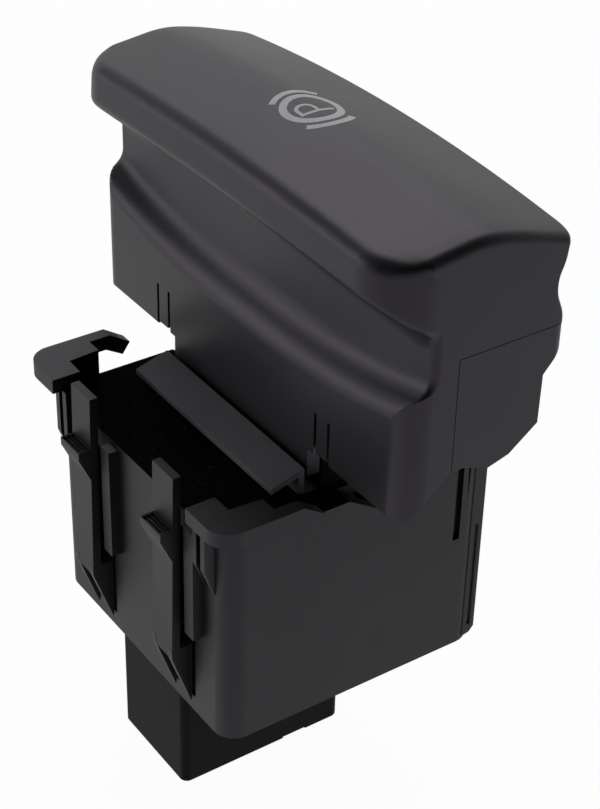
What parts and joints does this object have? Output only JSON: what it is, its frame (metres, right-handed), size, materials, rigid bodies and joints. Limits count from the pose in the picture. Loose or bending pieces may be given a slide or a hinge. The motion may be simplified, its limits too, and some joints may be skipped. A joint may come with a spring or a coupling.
{
  "type": "electric parking brake switch",
  "caption": "Console parking brake switch: a rocking pull knob with a finger lip over a snap-in housing with latch arms, corner flanges and a connector shroud below.",
  "frame": {"origin": "plan centre of the housing at the height of the flange undersides, which seat on the console panel", "axes": "+Z out of the panel towards the knob, +X along the knob, -Y towards the finger lip and the latch arms"},
  "size_m": [0.0596, 0.0379, 0.081],
  "materials": {
    "housing_plastic": "moulded glass-filled nylon, fine spark grain",
    "base_plastic": "moulded glass-filled PBT",
    "knob_plastic": "moulded ABS, soft satin",
    "lever_plastic": "moulded ABS, fine grain",
    "guide_plastic": "moulded PBT",
    "acetal": "natural acetal",
    "clear_guide": "polished clear acrylic",
    "pad_rubber": "matt rubber",
    "board": "green solder mask",
    "gilding": "gold flash on copper",
    "tinned_terminal": "tinned brass",
    "steel": "bright steel",
    "bronze": "phosphor bronze",
    "led_body": "white LED package",
    "chip_black": "chip resistor",
    "chip_tan": "ceramic chip capacitor"
  },
  "bodies": {
    "case": {"housing": "housing_plastic", "base": "base_plastic", "apron": "housing_plastic", "pivot_pins": "steel", "circuit_board": "board", "contact_tracks": "gilding", "terminals": "tinned_terminal", "symbol_led": "led_body", "resistors": "chip_black", "capacitors": "chip_tan", "slider_guide": "guide_plastic", "guide_screws": "steel", "front_spring": "steel", "rear_spring": "steel", "stop_pads": "pad_rubber"},
    "rocker": {"knob": "knob_plastic", "lever": "lever_plastic", "bushes": "acetal", "light_guide": "clear_guide", "guide_clip": "steel"},
    "contact_slide": {"slider": "acetal", "wipers": "bronze"}
  },
  "joints": [
    {"name": "lever_pivot", "type": "hinge", "parent": "case", "child": "rocker", "pos_m": [0, 0.0046, -0.008], "axis": [-1, 0, 0], "range_deg": [-3, 7], "stiffness_Nm_per_rad": 1.2},
    {"name": "slider_travel", "type": "slide", "parent": "case", "child": "contact_slide", "axis": [0, -1, 0], "range_m": [-0.0008, 0.0016], "deforming": ["front_spring", "rear_spring"]}
  ],
  "couplings": [
    {"joint": "slider_travel", "follows": "lever_pivot", "m_per_rad": 0.0115}
  ]
}
